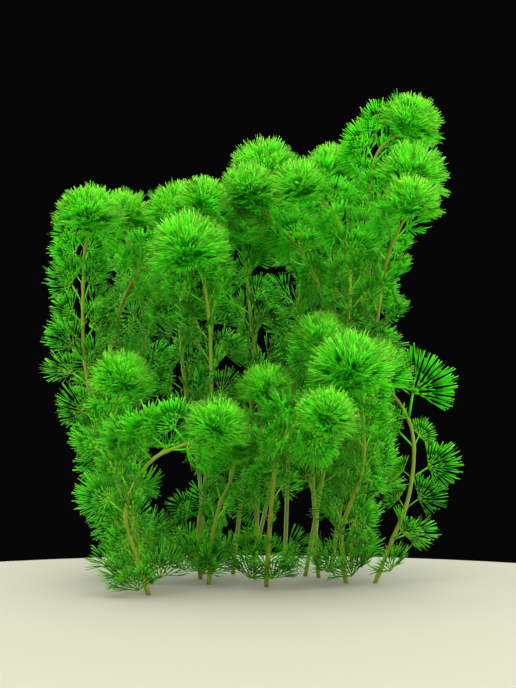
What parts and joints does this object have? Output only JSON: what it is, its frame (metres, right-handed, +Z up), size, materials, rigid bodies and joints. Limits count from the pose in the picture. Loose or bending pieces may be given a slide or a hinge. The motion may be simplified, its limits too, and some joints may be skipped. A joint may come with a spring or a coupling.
{
  "type": "cabomba plant",
  "caption": "Stand of feathery submerged water plant stems with opposite fan leaves and domed young crowns, cut flat at the ground and standing upright.",
  "frame": {"origin": "middle of the stand's box, on the ground that the cut stems stand on", "axes": "+Z up along the stems, -Y towards the viewer, +X to the viewer's right"},
  "size_m": [0.2576, 0.2322, 0.3085],
  "materials": {
    "leafy_stem": "moist satin leaf",
    "young_leaf": "moist satin young leaf"
  },
  "bodies": {
    "root": {"stem_front_left": "leafy_stem", "crown_front_left": "young_leaf", "stem_thin_centre": "leafy_stem", "crown_thin_centre": "young_leaf", "stem_tall_left": "leafy_stem", "crown_tall_left": "young_leaf", "stem_front_centre": "leafy_stem", "crown_front_centre": "young_leaf", "stem_mid_right": "leafy_stem", "crown_mid_right": "young_leaf", "stem_right": "leafy_stem", "crown_right": "young_leaf", "stem_top_right": "leafy_stem", "crown_top_right": "young_leaf", "stem_upper_right": "leafy_stem", "crown_upper_right": "young_leaf", "stem_inner_right": "leafy_stem", "crown_inner_right": "young_leaf", "stem_arching": "leafy_stem", "crown_arching": "young_leaf", "stem_upper_centre": "leafy_stem", "crown_upper_centre": "young_leaf", "stem_back_centre": "leafy_stem", "crown_back_centre": "young_leaf", "stem_back_middle": "leafy_stem", "crown_back_middle": "young_leaf", "stem_far_left": "leafy_stem", "crown_far_left": "young_leaf", "stem_left_diagonal": "leafy_stem", "crown_left_diagonal": "young_leaf", "stem_low_left": "leafy_stem", "crown_low_left": "young_leaf", "stem_left_inner": "leafy_stem", "crown_left_inner": "young_leaf", "stem_left_back": "leafy_stem", "crown_left_back": "young_leaf", "stem_short_right": "leafy_stem", "crown_short_right": "young_leaf", "stem_back_right": "leafy_stem", "crown_back_right": "young_leaf", "stem_short_centre": "leafy_stem", "crown_short_centre": "young_leaf"}
  },
  "joints": []
}
